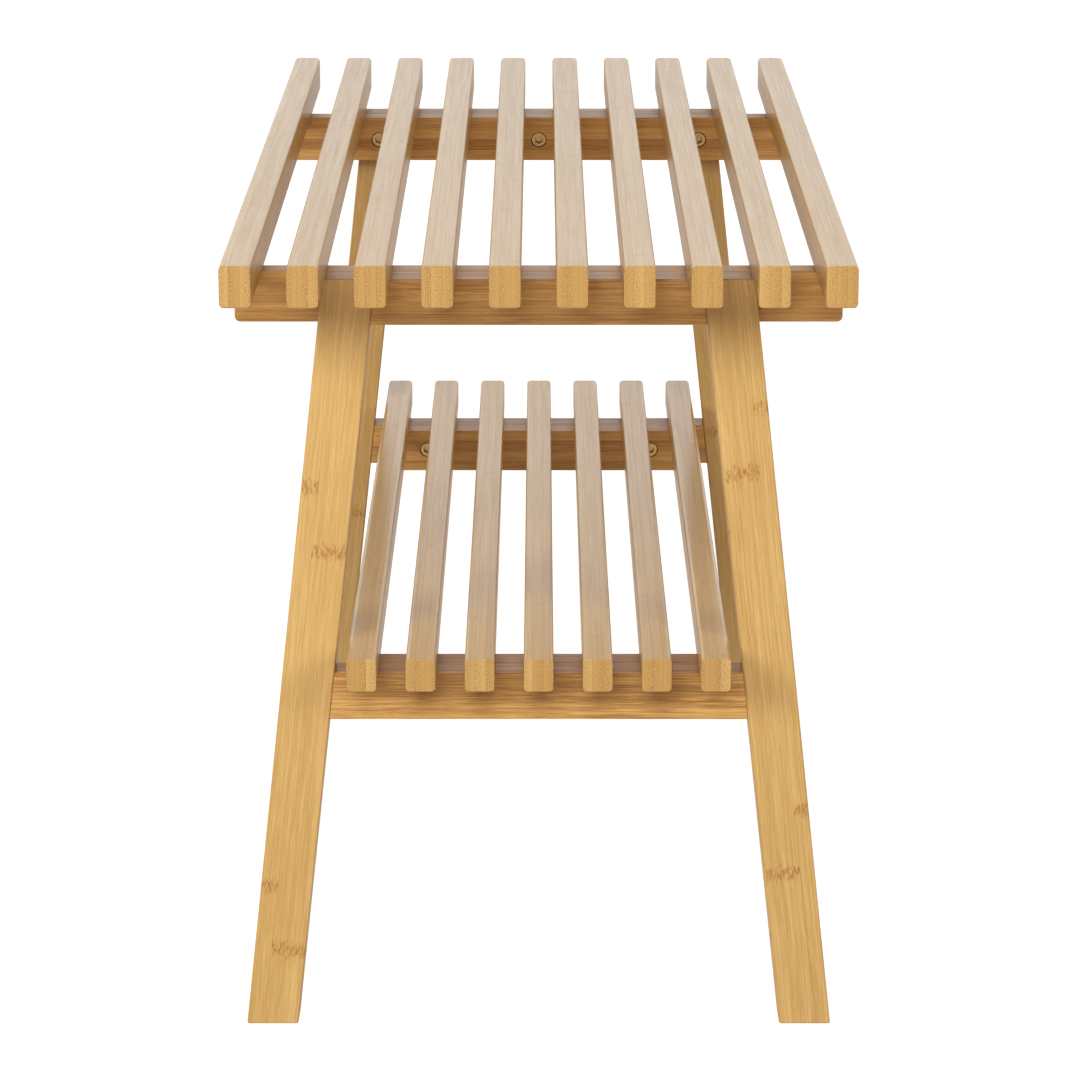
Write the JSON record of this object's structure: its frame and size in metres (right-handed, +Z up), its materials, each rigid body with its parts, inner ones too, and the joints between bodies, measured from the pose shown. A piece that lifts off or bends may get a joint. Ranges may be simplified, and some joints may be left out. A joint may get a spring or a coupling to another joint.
{
  "type": "slatted bench",
  "caption": "Backless bamboo entryway bench: long seat slats on two leaning end frames with splayed legs, and a narrower slatted shelf between the legs.",
  "frame": {"origin": "on the floor, under the middle of the bench", "axes": "+X along the bench's length to its right end, +Y across it to its back, +Z up from the floor"},
  "size_m": [0.7, 0.34, 0.45],
  "materials": {
    "slats": "satin clear-coated laminated bamboo, golden",
    "frames": "satin clear-coated laminated bamboo, golden",
    "battens": "satin clear-coated laminated bamboo, a little darker",
    "bolts": "zinc-plated steel",
    "inserts": "plain brass",
    "dowels": "bare wood",
    "screws": "zinc-plated steel"
  },
  "bodies": {
    "root": {"seat_slat_01": "slats", "seat_slat_02": "slats", "seat_slat_03": "slats", "seat_slat_04": "slats", "seat_slat_05": "slats", "seat_slat_06": "slats", "seat_slat_07": "slats", "seat_slat_08": "slats", "seat_slat_09": "slats", "seat_slat_10": "slats", "shelf_slat_01": "slats", "shelf_slat_02": "slats", "shelf_slat_03": "slats", "shelf_slat_04": "slats", "shelf_slat_05": "slats", "shelf_slat_06": "slats", "shelf_slat_07": "slats", "leg_right_front": "frames", "leg_right_back": "frames", "leg_left_front": "frames", "leg_left_back": "frames", "top_rail_right": "frames", "top_rail_left": "frames", "lower_rail_right": "frames", "lower_rail_left": "frames", "seat_batten_right": "battens", "seat_batten_left": "battens", "shelf_batten_right": "battens", "shelf_batten_left": "battens", "seat_bolts_right": "bolts", "seat_bolts_left": "bolts", "shelf_bolts_right": "bolts", "shelf_bolts_left": "bolts", "seat_inserts_right": "inserts", "seat_inserts_left": "inserts", "shelf_inserts_right": "inserts", "shelf_inserts_left": "inserts", "top_dowels_right": "dowels", "top_dowels_left": "dowels", "lower_dowels_right": "dowels", "lower_dowels_left": "dowels", "seat_screws_right": "screws", "seat_screws_left": "screws", "shelf_screws_right": "screws", "shelf_screws_left": "screws"}
  },
  "joints": []
}
